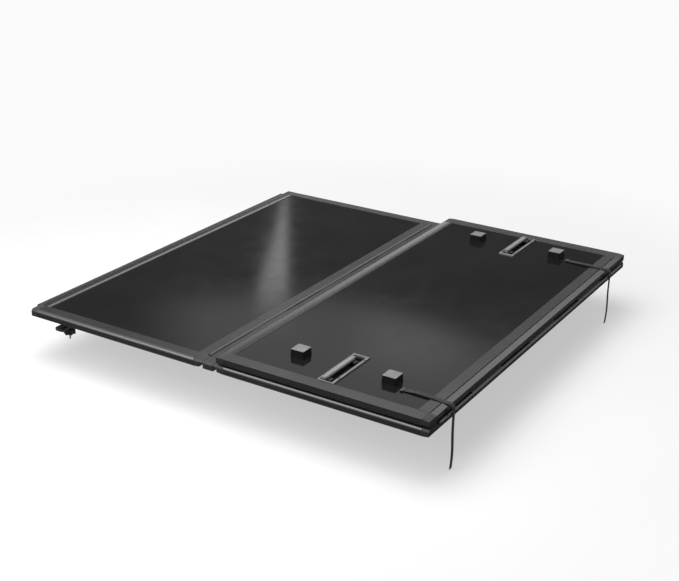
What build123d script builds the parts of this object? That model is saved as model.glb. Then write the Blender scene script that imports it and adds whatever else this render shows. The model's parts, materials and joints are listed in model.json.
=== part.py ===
from build123d import *
import os

# Hard folding truck-bed cover: three framed sandwich panels, a double hinge behind the
# front panel and a single fold hinge behind the middle one.
# Millimetres. +X right, +Y forward to the cab, +Z up.
# Origin: centre of the front edge, on the seating plane (top of the bed rails).
# Every panel is drawn in its closed place; the rear one is then folded onto the middle one.

# ---- driving dimensions -------------------------------------------------------------
COVER_W = 1748.0        # over the side rails
PANEL_T = 28.0          # rail height
FRONT_LEN = 804.0       # front panel, front edge to rear face
MIDDLE_LEN = 831.0
REAR_LEN = 832.0
STACK_GAP = 4.0         # between the rear and the middle panel when folded
BLOCK_H = 25.0          # spacer blocks, over the panel's underside
AXIS_INSET = 7.0        # from a rail's end face to its hinge axis
FRONT_AXIS_Z = 26.0     # height of both double-hinge axes
LINK_T = 12.0           # from those axes down to the link's underside
LINK_CELLS = 3          # hollows in the link

SIDE_BOX = 30.0         # hollow part of a side rail
SIDE_TOP = 52.0         # side rail seen from above
SIDE_BOTTOM = 50.0
END_BOX = 20.0          # hollow part of an end rail
HINGE_TOP = 40.0
HINGE_BOTTOM = 66.0
EDGE_TOP = 32.0         # tailgate rail
EDGE_BOTTOM = 41.0
BULKHEAD_TOP = 47.0
BULKHEAD_BOTTOM = 33.0
STRIP_FROM = 30.0       # raised sloping strip on the bulkhead rail's lip
STRIP_LOW = 0.8         # its height over the sheet, outer and inner edge
STRIP_HIGH = 2.6
RAIL_WALL = 3.0
LIP = 2.0               # flange thickness, over and under the sandwich
SHOULDER_R = 12.0
BEVEL_W = 23.0          # sloping strip along the underside of an end rail
BEVEL_DROP = 3.0
NOSE_R = 7.0            # rounded end of a corner casting, about its hinge axis
NOSE_GAP = 1.0
GROOVE_W = 4.0
GROOVE_D = 1.2

SKIN_T = 0.8
CORNER_LEN = 26.0       # corner casting, along the side rail
TENON_LEN = 42.0
FIT = 0.25              # all-round play of push-in pieces

BARREL_R = 5.5
PIN_R = 3.0
RUN_FIT = 0.05
KNUCKLES = 7
KNUCKLE_GAP = 0.6

TRAY_L = 236.0          # latch tray, from the side rail inwards
TRAY_W = 65.0
TRAY_RIM = 9.0
TRAY_PROUD = 3.0
TRAY_DEPTH = 19.0
TRAY_FLOOR = 1.5
TRAY_FROM_HINGE = 417.0  # tray centre line to the rear panel's hinge face
ROD_R = 9.0
ROD_FLAT = 7.0          # flat on the outside of the rod, from its axis
ROD_PROUD = 2.5         # latch rod's axis, outside the panel's underside
ROD_CLEAR = 1.0         # rod to the tray's rim
ROD_L = 178.0
JOURNAL_R = 5.0
BEARING_T = 8.0
BEARING_INSET = 12.0    # outer bearing's middle, from the tray's outer end
LEVER_DROP = 4.0        # crank and finger lie this much deeper than the rod's axis
LEVER_T = 7.0
CRANK_L = 23.0
CRANK_W = 17.0
FINGER_L = 23.0
FINGER_W = 22.0

BLOCK_SIDE = 52.0
BLOCK_X = 694.0
BLOCK_PITCH = 364.0     # the two blocks of one side, centred on the latch tray
BLOCK_SCREW_R = 2.5
BLOCK_SCREW_L = 17.0
BLOCK_HEAD_R = 5.0

STRAP_W = 18.0
STRAP_T = 2.0
STRAP_LIFT = 0.4        # off the panel's rail
STRAP_X = {"left": -733.0, "right": 667.0}
STRAP_RUN = 182.0       # along the panel, up to the hinge face
STRAP_TAIL = 234.0

SEAL_PROUD = 22.0       # bulkhead bulb, ahead of the front panel
SEAL_LIP = 12.0

CLAMP_X = 778.0         # axis of a clamp stud, left and right
CLAMP_Y = -96.0
CLAMP_PLATE_T = 5.0
STUD_R = 4.0
CLAMP_TOP = -46.0       # upper face of the jaw's toe when tight
JAW_T = 10.0
CLAMP_SCREW_R = 2.5

# ---- derived places -------------------------------------------------------------------
HALF_W = COVER_W / 2
INNER_X = HALF_W - SIDE_TOP
LINK_L = BLOCK_H + PANEL_T + STACK_GAP + 2 * (PANEL_T - FRONT_AXIS_Z)
LINK_CELL = (LINK_L - 2 * AXIS_INSET - (LINK_CELLS + 1) * LIP) / LINK_CELLS
AXIS_1_Y = -FRONT_LEN - AXIS_INSET
AXIS_2_Y = AXIS_1_Y - LINK_L
MIDDLE_Y = AXIS_2_Y - AXIS_INSET
FOLD_FACE_Y = MIDDLE_Y - MIDDLE_LEN
AXIS_3_Y = FOLD_FACE_Y - AXIS_INSET
AXIS_3_Z = PANEL_T + STACK_GAP / 2
REAR_Y = AXIS_3_Y - AXIS_INSET
TAILGATE_Y = REAR_Y - REAR_LEN
TRAY_Y = REAR_Y - TRAY_FROM_HINGE
KNUCKLE_L = 2 * (INNER_X - 8) / KNUCKLES   # pitch of the barrels


def box(x0, x1, y0, y1, z0, z1):
    """A block between two opposite corners, given in any order."""
    size = (abs(x1 - x0), abs(y1 - y0), abs(z1 - z0))
    return Pos((x0 + x1) / 2, (y0 + y1) / 2, (z0 + z1) / 2) * Box(*size)


def rect(a0, a1, b0, b1):
    """A flat rectangle, for use in a profile."""
    return Pos((a0 + a1) / 2, (b0 + b1) / 2) * Rectangle(abs(a1 - a0), abs(b1 - b0))


def rod_x(radius, x0, x1, y, z):
    """A round bar along X."""
    turned = Rot(0, 90, 0) * Cylinder(radius, abs(x1 - x0))
    return Pos((x0 + x1) / 2, y, z) * turned


def rod_z(radius, x, y, z0, z1):
    """A round bar along Z."""
    return Pos(x, y, (z0 + z1) / 2) * Cylinder(radius, abs(z1 - z0))


def along_y(profile, y0, y1):
    """A profile drawn in (x, z), run from y0 back to y1."""
    return extrude(Plane.XZ.offset(-y0) * profile, amount=y0 - y1)


def along_x(profile, x0, x1):
    """A profile drawn in (y, z), run from x0 to x1."""
    return extrude(Plane.YZ.offset(x0) * profile, amount=x1 - x0)


def folded(shape):
    """The rear panel's closed place turned half a turn about the fold axis."""
    axis = Axis((0, AXIS_3_Y, AXIS_3_Z), (1, 0, 0))
    return shape.rotate(axis, 180)


def both_sides(shape):
    """A left-hand piece and its mirror image, as separate solids."""
    return Compound(children=[*shape.solids(), *mirror(shape, about=Plane.YZ).solids()])


def group(shapes):
    """Separate solids kept in one node."""
    return Compound(children=[solid for shape in shapes for solid in shape.solids()])


# ---- rails ------------------------------------------------------------------------------
def shouldered(width, height, radius):
    """The (outward distance, height) outline of a rail box: rounded at its outer top edge."""
    block = rect(0, width, 0, height)
    top_outer = block.vertices().sort_by(Axis.Y)[-2:].sort_by(Axis.X)[0]
    return fillet(top_outer, radius)


def side_profile():
    """Side rail: hollow box with a lip over and under the sandwich; 0 is the outer edge."""
    outer = shouldered(SIDE_BOX, PANEL_T, SHOULDER_R)
    hollow = rect(RAIL_WALL, SIDE_BOX - RAIL_WALL, RAIL_WALL, PANEL_T - RAIL_WALL)
    top_outer = hollow.vertices().sort_by(Axis.Y)[-2:].sort_by(Axis.X)[0]
    hollow = fillet(top_outer, SHOULDER_R - RAIL_WALL)
    lips = rect(SIDE_BOX, SIDE_TOP, PANEL_T - LIP, PANEL_T) + rect(SIDE_BOX, SIDE_BOTTOM, 0, LIP)
    return outer - hollow + lips


def side_rails(y_front, y_rear):
    """The left and the right rail of one panel, between its corner castings."""
    profile = Pos(-HALF_W, 0) * side_profile()
    left = along_y(profile, y_front - CORNER_LEN, y_rear + CORNER_LEN)
    return left, mirror(left, about=Plane.YZ)


def bevel():
    """What the sloping strip under an end rail takes away; 0 is the rail's end face."""
    return make_face(Polyline((0, 0), (BEVEL_W, 0), (0, BEVEL_DROP), close=True))


def end_profile(top, bottom):
    """Plain end rail: hollow box, with a lip over and under the sandwich; 0 is its end face."""
    outer = rect(0, END_BOX, 0, PANEL_T)
    low = RAIL_WALL + BEVEL_DROP
    hollow = rect(RAIL_WALL, END_BOX - RAIL_WALL, low, PANEL_T - low)
    lips = rect(END_BOX, top, PANEL_T - LIP, PANEL_T) + rect(END_BOX, bottom, 0, LIP)
    return outer - hollow + lips


def tailgate_profile():
    """Tailgate rail: a sloping strip along the outer edge of its underside."""
    return end_profile(EDGE_TOP, EDGE_BOTTOM) - bevel()


def hinge_profile():
    """Hinge rail: wide below, with a sloping strip and a shadow groove beside it."""
    groove = rect(BEVEL_W, BEVEL_W + GROOVE_W, 0, GROOVE_D)
    return end_profile(HINGE_TOP, HINGE_BOTTOM) - bevel() - groove


def bulkhead_profile():
    """Bulkhead rail: a groove and a sloping strip on top, and a forward lip for the bulb seal."""
    groove = rect(END_BOX - GROOVE_W, END_BOX, PANEL_T - GROOVE_D, PANEL_T)
    sheet = PANEL_T - LIP
    outline = [(STRIP_FROM, sheet), (STRIP_FROM, sheet + STRIP_LOW), (BULKHEAD_TOP - 1, sheet + STRIP_HIGH)]
    outline += [(BULKHEAD_TOP, sheet + STRIP_HIGH - 0.3), (BULKHEAD_TOP, sheet)]
    strip = make_face(Polyline(*outline, close=True))
    return end_profile(STRIP_FROM, BULKHEAD_BOTTOM) - groove + strip + rect(-SEAL_LIP, 0, 0, LIP)


def end_rail(profile, y_face, facing):
    """An end rail whose end face is at y_face; facing is +1 towards the cab, -1 to the rear."""
    if facing > 0:
        profile = mirror(profile, about=Plane.YZ)
    return along_x(Pos(y_face, 0) * profile, -INNER_X, INNER_X)


def nose(y_face, facing, axis_y):
    """Rounded end that fills the side of a hinge gap, about the hinge axis."""
    outline = Pos(-HALF_W, 0) * shouldered(SIDE_TOP - NOSE_GAP, PANEL_T, SHOULDER_R)
    y_tip = axis_y + facing * NOSE_R
    bar = along_y(outline, max(y_face, y_tip), min(y_face, y_tip))
    keep = rod_x(NOSE_R, -HALF_W - 1, -INNER_X + 1, axis_y, FRONT_AXIS_Z)
    keep += box(-HALF_W - 1, -INNER_X + 1, y_face, axis_y, FRONT_AXIS_Z - NOSE_R, PANEL_T)
    return bar & keep


def corner(y_face, facing, axis_y=None, sloping=True):
    """Left corner casting: it closes the side rail and plugs into both rails."""
    inward = -facing
    root = y_face + inward * CORNER_LEN
    outline = Pos(-HALF_W, 0) * shouldered(SIDE_TOP, PANEL_T, SHOULDER_R)
    head = along_y(outline, max(y_face, root), min(y_face, root))
    if sloping:
        cut = bevel() if facing < 0 else mirror(bevel(), about=Plane.YZ)
        head -= along_x(Pos(y_face, 0) * cut, -HALF_W - 1, -INNER_X + 1)
    low = RAIL_WALL + FIT
    high = PANEL_T - RAIL_WALL - FIT
    outer = -HALF_W + RAIL_WALL + SHOULDER_R - 2
    inner = -HALF_W + SIDE_BOX - RAIL_WALL - FIT
    head += box(outer, inner, root, root + inward * TENON_LEN, low, high)
    near = y_face + inward * (RAIL_WALL + FIT)
    far = y_face + inward * (END_BOX - RAIL_WALL - FIT)
    head += box(-INNER_X, -INNER_X + TENON_LEN, near, far, low + BEVEL_DROP, high - BEVEL_DROP)
    if axis_y is not None:
        head += nose(y_face, facing, axis_y)
    return head


def link_caps():
    """Moulded ends of the double hinge's strip, carrying the side rails' outline across it."""
    outline = Pos(-HALF_W, 0) * shouldered(SIDE_TOP - NOSE_GAP, PANEL_T, SHOULDER_R)
    reach = NOSE_R + NOSE_GAP
    cap = along_y(outline, AXIS_1_Y - reach, AXIS_2_Y + reach)
    low = FRONT_AXIS_Z - LINK_T + LIP + FIT
    middle = (AXIS_1_Y + AXIS_2_Y) / 2
    half = LINK_CELL / 2 - FIT
    tenon = box(-INNER_X - 2, -INNER_X + TENON_LEN, middle - half, middle + half, low, PANEL_T - LIP - FIT)
    return both_sides(cap + tenon)


# ---- sandwich -----------------------------------------------------------------------------
def sandwich(y_front, y_rear):
    """Top skin, core and bottom skin, held between the rails' lips."""
    x = HALF_W - SIDE_BOX - FIT
    y0 = y_front - END_BOX - FIT
    y1 = y_rear + END_BOX + FIT
    # the castings reach past the end rails' boxes, so the sheets' corners are cut away
    notch_x = INNER_X - 1
    notch_y = CORNER_LEN + 1
    z = (LIP, LIP + SKIN_T, PANEL_T - LIP - SKIN_T, PANEL_T - LIP)
    layers = []
    for low, high in ((z[2], z[3]), (z[1], z[2]), (z[0], z[1])):
        layer = box(-x, x, y0, y1, low, high)
        for side in (-1, 1):
            layer -= box(side * notch_x, side * (x + 1), y_front, y_front - notch_y, low, high)
            layer -= box(side * notch_x, side * (x + 1), y_rear, y_rear + notch_y, low, high)
        layers.append(layer)
    return layers


# ---- hinges ---------------------------------------------------------------------------------
def knuckles(axis_y, axis_z, toward_y, web_low, web_high, first):
    """Every second barrel of a hinge, from number first, with its web out to toward_y."""
    start = -KNUCKLE_L * KNUCKLES / 2
    row = []
    for i in range(first, KNUCKLES, 2):
        x0 = start + i * KNUCKLE_L + KNUCKLE_GAP / 2
        x1 = x0 + KNUCKLE_L - KNUCKLE_GAP
        piece = rod_x(BARREL_R, x0, x1, axis_y, axis_z)
        piece += box(x0, x1, axis_y, toward_y, web_low, web_high)
        piece -= rod_x(PIN_R + RUN_FIT, x0 - 1, x1 + 1, axis_y, axis_z)
        row.append(piece)
    return group(row)


def hinge_pin(axis_y, axis_z):
    """A plain steel rod through all the barrels of one hinge."""
    reach = KNUCKLE_L * KNUCKLES / 2 + 2
    return rod_x(PIN_R, -reach, reach, axis_y, axis_z)


def hinge_link():
    """The double hinge's middle strip: a flat hollow extrusion with barrels on both edges."""
    low = FRONT_AXIS_Z - LINK_T
    y0 = AXIS_1_Y - AXIS_INSET
    y1 = AXIS_2_Y + AXIS_INSET
    strip = box(-INNER_X, INNER_X, y0, y1, low, PANEL_T)
    for i in range(LINK_CELLS):
        y = y0 - LIP - i * (LINK_CELL + LIP)
        strip -= box(-HALF_W, HALF_W, y, y - LINK_CELL, low + LIP, PANEL_T - LIP)
    web = (FRONT_AXIS_Z - BARREL_R, PANEL_T)
    strip += knuckles(AXIS_1_Y, FRONT_AXIS_Z, y0 - 0.5, *web, 1)
    strip += knuckles(AXIS_2_Y, FRONT_AXIS_Z, y1 + 0.5, *web, 1)
    return strip


# ---- spacer blocks, latches and straps (closed place, under the rear panel) -----------------
def block_places():
    """Centres of the four spacer blocks."""
    for side in (-1, 1):
        for step in (-0.5, 0.5):
            yield side * BLOCK_X, TRAY_Y + step * BLOCK_PITCH


def spacer_block(x, y):
    """Square rubber block, drawn in towards its free end, with a blind screw hole."""
    foot = Plane.XY.offset(LIP) * RectangleRounded(BLOCK_SIDE + 4, BLOCK_SIDE + 4, 5)
    head = Plane.XY.offset(-BLOCK_H) * RectangleRounded(BLOCK_SIDE, BLOCK_SIDE, 4)
    block = Pos(x, y, 0) * loft([foot.faces()[0], head.faces()[0]])
    return block - rod_z(BLOCK_SCREW_R + 0.1, x, y, LIP - BLOCK_SCREW_L - 1, LIP + 1)


def block_screw(x, y):
    """Pan-head screw from inside the sandwich down into a spacer block."""
    seat = LIP + SKIN_T
    head = rod_z(BLOCK_HEAD_R, x, y, seat, seat + 3)
    return head + rod_z(BLOCK_SCREW_R, x, y, LIP - BLOCK_SCREW_L, seat + 1)


def tray_place():
    """Outer and inner end of the left latch tray."""
    outer = -HALF_W + SIDE_BOTTOM + 0.5
    return outer, outer + TRAY_L


def latch_axis():
    """Y and z of the latch rod's axis, close to the tray's rearward wall."""
    return TRAY_Y - TRAY_W / 2 + TRAY_RIM + ROD_R + ROD_CLEAR, -ROD_PROUD


def tray_cut():
    """The pocket that the tray fills in the bottom skin and the core."""
    x0, x1 = tray_place()
    half = TRAY_W / 2 - 3
    return box(x0 - 1, x1 - 3, TRAY_Y - half, TRAY_Y + half, 0, TRAY_DEPTH + FIT)


def latch_tray():
    """Moulded dish with a raised U-shaped rim, two bearing walls and screw holes."""
    x0, x1 = tray_place()
    half = TRAY_W / 2
    rim = box(x0, x1, TRAY_Y - half, TRAY_Y + half, -TRAY_PROUD, LIP)
    rim = chamfer(rim.faces().sort_by(Axis.Z)[0].edges(), 1.2)
    dish = box(x0, x1 - 3 - FIT, TRAY_Y - half + 3 + FIT, TRAY_Y + half - 3 - FIT, LIP, TRAY_DEPTH)
    inner = half - TRAY_RIM
    tray = rim + dish
    tray -= box(x0 + 3, x1 - TRAY_RIM, TRAY_Y - inner, TRAY_Y + inner, -TRAY_PROUD, TRAY_DEPTH - TRAY_FLOOR)
    y, z = latch_axis()
    for x in bearing_places():
        low, high = x - BEARING_T / 2, x + BEARING_T / 2
        tray += box(low, high, TRAY_Y - inner, y + ROD_R, z - ROD_FLAT, TRAY_DEPTH - TRAY_FLOOR)
        tray -= rod_x(JOURNAL_R + RUN_FIT, low - 1, high + 1, y, z)
    for x, y in tray_screws():
        tray -= rod_z(2.2, x, y, -TRAY_PROUD - 1, TRAY_DEPTH + 1)
    return tray


def bearing_places():
    """The two walls that carry the left latch rod."""
    outer = tray_place()[0] + BEARING_INSET
    return outer, outer + ROD_L + BEARING_T + 2 * ROD_CLEAR


def tray_screws():
    """Four fixing points in the left tray's rim."""
    x0, x1 = tray_place()
    for x in (x0 + 40, x1 - 30):
        for side in (-1, 1):
            yield x, TRAY_Y + side * (TRAY_W / 2 - TRAY_RIM / 2)


def tray_screw(x, y):
    """Small pan-head screw through a latch tray's rim."""
    shank = rod_z(2.0, x, y, -TRAY_PROUD - 0.5, LIP - 0.3)
    return shank + rod_z(3.6, x, y, -TRAY_PROUD - 1.6, -TRAY_PROUD)


def rod_ends():
    """Outer and inner end of the left latch rod's grip."""
    middle = sum(bearing_places()) / 2
    return middle - ROD_L / 2, middle + ROD_L / 2


def latch_rod():
    """Turning rod: flat-sided grip, crank at its inner end, locking finger at its outer end."""
    y, z = latch_axis()
    outer, inner = rod_ends()
    rod = rod_x(ROD_R, outer, inner, y, z)
    rod -= box(outer - 1, inner + 1, y - ROD_R, y + ROD_R, z - ROD_FLAT, z - ROD_R - 1)
    journal = BEARING_T + 2 * ROD_CLEAR
    rod += rod_x(JOURNAL_R, outer - journal, inner + journal, y, z)
    low = z + LEVER_DROP
    crank = box(inner - CRANK_W, inner, y, y + CRANK_L, low, low + LEVER_T)
    rod += fillet(crank.edges().filter_by(Axis.Z), 3.5)
    finger = box(outer, outer + FINGER_W, y, y + FINGER_L, low, low + LEVER_T)
    return rod + fillet(finger.edges().filter_by(Axis.Z), 3)


def latch_pad():
    """Rubber pad on the deep side of the locking finger."""
    y, z = latch_axis()
    x = rod_ends()[0]
    low = z + LEVER_DROP + LEVER_T
    pad = box(x + 2, x + FINGER_W - 2, y + 9, y + FINGER_L - 2, low, low + 2)
    return fillet(pad.edges().filter_by(Axis.Z), 2)


def strap_run(x):
    """The part of a stow strap that lies along the rear panel, out to the hinge edge."""
    low = -STRAP_LIFT - STRAP_T
    return box(x - STRAP_W / 2, x + STRAP_W / 2, REAR_Y - STRAP_RUN, REAR_Y, -STRAP_LIFT, low)


def strap_anchor(x):
    """Flat-headed screw and washer plate that hold a strap's fixed end."""
    y = REAR_Y - STRAP_RUN + 9
    low = -STRAP_LIFT - STRAP_T
    plate = box(x - 12, x + 12, y - 6, y + 6, low, low - 1.5)
    return plate + rod_z(4.5, x, y, low - 3.5, low - 1)


def strap_tail(x):
    """The loose end of a stow strap, hanging behind the folded edge (in its folded place)."""
    y = AXIS_3_Y - BARREL_R - 1.5
    top = 2 * AXIS_3_Z - 2
    return box(x - STRAP_W / 2, x + STRAP_W / 2, y - STRAP_T, y, top - STRAP_TAIL, top)


# ---- seals -----------------------------------------------------------------------------------
def bulkhead_seal():
    """Hollow bulb along the front edge, against the cab end of the bed."""
    low, high = 3.0, 25.0
    depth = SEAL_PROUD
    bulb = rect(0, depth, low, high)
    bulb = fillet(bulb.vertices().sort_by(Axis.X)[-2:], 9)
    hollow = rect(2.5, depth - 2.5, low + 2.5, high - 2.5)
    hollow = fillet(hollow.vertices().sort_by(Axis.X)[-2:], 6.5)
    return along_x(bulb - hollow, -INNER_X, INNER_X)


def tailgate_seal():
    """Low wiper strip on the rear edge."""
    lip = rect(TAILGATE_Y - 2, TAILGATE_Y, 4, 15)
    lip = fillet(lip.vertices().sort_by(Axis.X)[:2], 0.9)
    return along_x(lip, -INNER_X, INNER_X)


# ---- front clamps (left-hand, mirrored for the right) -------------------------------------------
def clamp_bracket():
    """Steel foot screwed to the panel's underside; it carries the stud."""
    x = -CLAMP_X
    foot = box(x - 44, x + 34, CLAMP_Y - 28, CLAMP_Y + 28, LIP - CLAMP_PLATE_T, LIP)
    foot = fillet(foot.edges().filter_by(Axis.Z), 6)
    rib = box(x - 17, x + 17, CLAMP_Y - 16, CLAMP_Y + 16, -CLAMP_PLATE_T - 8, LIP - CLAMP_PLATE_T)
    rib = fillet(rib.edges().filter_by(Axis.Z), 5)
    foot += rib
    foot -= rod_z(STUD_R + RUN_FIT, x, CLAMP_Y, -40, 10)
    for sx, sy in clamp_screws():
        foot -= rod_z(CLAMP_SCREW_R + 0.3, sx, sy, -40, 10)
    return foot


def clamp_screws():
    """Four screws through the left foot, around the stud."""
    for dx in (-34, 24):
        for side in (-1, 1):
            yield -CLAMP_X + dx, CLAMP_Y + side * 20


def clamp_screw(x, y):
    """Pan-head screw up through the foot into the sandwich."""
    head_low = LIP - CLAMP_PLATE_T - 3.5
    return rod_z(CLAMP_SCREW_R, x, y, head_low + 1, 18) + rod_z(5, x, y, head_low, head_low + 3.5)


def clamp_stud():
    """Threaded stud hanging from the foot, shown plain at its outer diameter."""
    stud = rod_z(STUD_R, -CLAMP_X, CLAMP_Y, LIP - 0.2, CLAMP_TOP - JAW_T - 52)
    nut_top = -CLAMP_PLATE_T - 8
    return stud + rod_z(8, -CLAMP_X, CLAMP_Y, nut_top, nut_top - 6)


def clamp_jaw():
    """Jaw that slides on the stud and reaches out under the bed rail's flange."""
    x = -CLAMP_X
    low = CLAMP_TOP - JAW_T
    jaw = box(x - 58, x + 16, CLAMP_Y - 20, CLAMP_Y + 20, low, CLAMP_TOP)
    jaw = fillet(jaw.edges().filter_by(Axis.Z), 8)
    heel = box(x - 12, x + 16, CLAMP_Y - 14, CLAMP_Y + 14, CLAMP_TOP - 1, CLAMP_TOP + 12)
    heel = fillet(heel.edges().filter_by(Axis.Z), 5)
    jaw += heel
    return jaw - rod_z(STUD_R + RUN_FIT, x, CLAMP_Y, low - 1, CLAMP_TOP + 20)


def jaw_pad():
    """Rubber pad on the jaw's toe."""
    x = -CLAMP_X
    pad = box(x - 54, x - 18, CLAMP_Y - 15, CLAMP_Y + 15, CLAMP_TOP, CLAMP_TOP + 4)
    return fillet(pad.edges().filter_by(Axis.Z), 4)


def clamp_knob():
    """Lobed hand knob with a hub nut, under the jaw."""
    x = -CLAMP_X
    top = CLAMP_TOP - JAW_T - 0.5
    hub = rod_z(11, x, CLAMP_Y, top, top - 8)
    body = rod_z(17, x, CLAMP_Y, top - 8, top - 30)
    for turn in range(6):
        arm = Rot(0, 0, 60 * turn) * Pos(17, 0, 0) * Cylinder(6, 22)
        body += Pos(x, CLAMP_Y, top - 19) * arm
    knob = hub + body
    return knob - rod_z(STUD_R + RUN_FIT, x, CLAMP_Y, top + 1, top - 31)


# ---- panels ----------------------------------------------------------------------------------------
def panel(name, y_front, y_rear):
    """Sandwich and side rails of one panel, in its closed place."""
    top, core, bottom = sandwich(y_front, y_rear)
    left, right = side_rails(y_front, y_rear)
    return {
        f"{name}_top_skin": top,
        f"{name}_core": core,
        f"{name}_bottom_skin": bottom,
        f"{name}_left_rail": left,
        f"{name}_right_rail": right,
    }


def hinge_rail(y_face, facing, axis_y, axis_z, first):
    """A hinge-side end rail with its share of the barrels."""
    rail = end_rail(hinge_profile(), y_face, facing)
    low = min(axis_z - BARREL_R, PANEL_T - 6)
    return rail + knuckles(axis_y, axis_z, y_face - facing * 0.5, low, PANEL_T, first)


def build_front():
    """The fixed panel, its clamps' feet and the first hinge pin."""
    front = panel("front", 0, -FRONT_LEN)
    bulkhead_corner = corner(0, 1, sloping=False)
    hinge_corner = corner(-FRONT_LEN, -1, AXIS_1_Y)
    front["front_corners"] = both_sides(group([bulkhead_corner, hinge_corner]))
    front["bulkhead_rail"] = end_rail(bulkhead_profile(), 0, 1)
    front["front_hinge_rail"] = hinge_rail(-FRONT_LEN, -1, AXIS_1_Y, FRONT_AXIS_Z, 0)
    front["front_hinge_pin"] = hinge_pin(AXIS_1_Y, FRONT_AXIS_Z)
    front["bulkhead_seal"] = bulkhead_seal()
    front["clamp_screws"] = both_sides(group([clamp_screw(x, y) for x, y in clamp_screws()]))
    for x, y in clamp_screws():
        for side in (-1, 1):
            for name in ("front_bottom_skin", "front_core"):
                front[name] -= rod_z(CLAMP_SCREW_R + 0.1, side * x, y, 0, 19)
    left_pieces = {
        "clamp_bracket": clamp_bracket(),
        "clamp_stud": clamp_stud(),
        "clamp_jaw": clamp_jaw(),
        "jaw_pad": jaw_pad(),
        "clamp_knob": clamp_knob(),
    }
    for name, piece in left_pieces.items():
        front[f"left_{name}"] = piece
        front[f"right_{name}"] = mirror(piece, about=Plane.YZ)
    return front


def build_middle():
    """The middle panel with both its hinge rails."""
    middle = panel("middle", MIDDLE_Y, FOLD_FACE_Y)
    middle["middle_front_corners"] = both_sides(corner(MIDDLE_Y, 1, AXIS_2_Y))
    middle["middle_rear_corners"] = both_sides(corner(FOLD_FACE_Y, -1))
    middle["middle_front_hinge_rail"] = hinge_rail(MIDDLE_Y, 1, AXIS_2_Y, FRONT_AXIS_Z, 0)
    middle["middle_rear_hinge_rail"] = hinge_rail(FOLD_FACE_Y, -1, AXIS_3_Y, AXIS_3_Z, 0)
    middle["middle_hinge_pin"] = hinge_pin(AXIS_2_Y, FRONT_AXIS_Z)
    middle["fold_hinge_pin"] = hinge_pin(AXIS_3_Y, AXIS_3_Z)
    return middle


def build_rear():
    """The rear panel and all it carries, in its closed place."""
    rear = panel("rear", REAR_Y, TAILGATE_Y)
    rear["rear_hinge_rail"] = hinge_rail(REAR_Y, 1, AXIS_3_Y, AXIS_3_Z, 1)
    rear["rear_corners"] = both_sides(group([corner(REAR_Y, 1), corner(TAILGATE_Y, -1)]))
    rear["tailgate_rail"] = end_rail(tailgate_profile(), TAILGATE_Y, -1)
    rear["tailgate_seal"] = tailgate_seal()
    pocket = both_sides(tray_cut())
    rear["rear_bottom_skin"] -= pocket
    rear["rear_core"] -= pocket
    for x, y in block_places():
        rear["rear_bottom_skin"] -= rod_z(BLOCK_SCREW_R + 0.1, x, y, 0, LIP + SKIN_T + 1)
        rear["rear_core"] -= rod_z(BLOCK_HEAD_R + 0.2, x, y, 0, LIP + SKIN_T + 3.2)
    rear["spacer_blocks"] = group([spacer_block(x, y) for x, y in block_places()])
    rear["block_screws"] = group([block_screw(x, y) for x, y in block_places()])
    rear["tray_screws"] = both_sides(group([tray_screw(x, y) for x, y in tray_screws()]))
    pieces = {"latch_tray": latch_tray(), "latch_rod": latch_rod(), "latch_pad": latch_pad()}
    for name, piece in pieces.items():
        rear[f"left_{name}"] = piece
        rear[f"right_{name}"] = mirror(piece, about=Plane.YZ)
    for side, x in STRAP_X.items():
        rear[f"{side}_strap_run"] = strap_run(x)
    rear["strap_anchors"] = group([strap_anchor(x) for x in STRAP_X.values()])
    return rear


parts = build_front()
parts["hinge_link"] = hinge_link()
parts["link_caps"] = link_caps()
parts.update(build_middle())
parts.update({name: folded(piece) for name, piece in build_rear().items()})
for side, x in STRAP_X.items():
    parts[f"{side}_strap_tail"] = strap_tail(x)

os.makedirs("parts", exist_ok=True)
for name, piece in parts.items():
    export_step(piece, f"parts/{name}.step")
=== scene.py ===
import json
import math

import bmesh
import bpy
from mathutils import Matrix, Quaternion, Vector


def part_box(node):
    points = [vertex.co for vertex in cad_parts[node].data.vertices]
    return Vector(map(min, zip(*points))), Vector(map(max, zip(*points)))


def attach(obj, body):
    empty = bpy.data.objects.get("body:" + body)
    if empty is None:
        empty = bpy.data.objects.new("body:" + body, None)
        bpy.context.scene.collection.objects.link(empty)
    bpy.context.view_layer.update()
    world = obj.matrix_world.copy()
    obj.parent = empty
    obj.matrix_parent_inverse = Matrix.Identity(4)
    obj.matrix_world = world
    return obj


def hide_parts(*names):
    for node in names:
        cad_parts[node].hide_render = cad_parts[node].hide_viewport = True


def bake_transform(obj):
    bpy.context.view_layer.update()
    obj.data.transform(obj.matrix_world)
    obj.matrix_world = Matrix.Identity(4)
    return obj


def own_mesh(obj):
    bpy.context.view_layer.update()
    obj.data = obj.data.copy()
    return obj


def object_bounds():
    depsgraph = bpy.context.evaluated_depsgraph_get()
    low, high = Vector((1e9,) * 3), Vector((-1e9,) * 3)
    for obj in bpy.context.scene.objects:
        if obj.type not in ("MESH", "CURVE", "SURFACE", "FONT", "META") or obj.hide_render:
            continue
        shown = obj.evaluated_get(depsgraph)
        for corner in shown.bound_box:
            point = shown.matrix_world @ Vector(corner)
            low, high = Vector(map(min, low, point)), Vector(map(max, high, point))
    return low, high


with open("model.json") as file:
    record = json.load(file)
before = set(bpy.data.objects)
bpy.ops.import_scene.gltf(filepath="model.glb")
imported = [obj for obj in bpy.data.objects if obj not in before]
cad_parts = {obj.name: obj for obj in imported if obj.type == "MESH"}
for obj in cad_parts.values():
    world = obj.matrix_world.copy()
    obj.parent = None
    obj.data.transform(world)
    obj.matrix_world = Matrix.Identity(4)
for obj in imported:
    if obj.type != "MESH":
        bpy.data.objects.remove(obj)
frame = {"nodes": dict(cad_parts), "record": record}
CAD_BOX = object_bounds()
CAD_HALF_WIDTH = CAD_BOX[1][0]

# Folding truck-bed cover. Metres, +Z up, +Y to the cab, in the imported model's frame.

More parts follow.
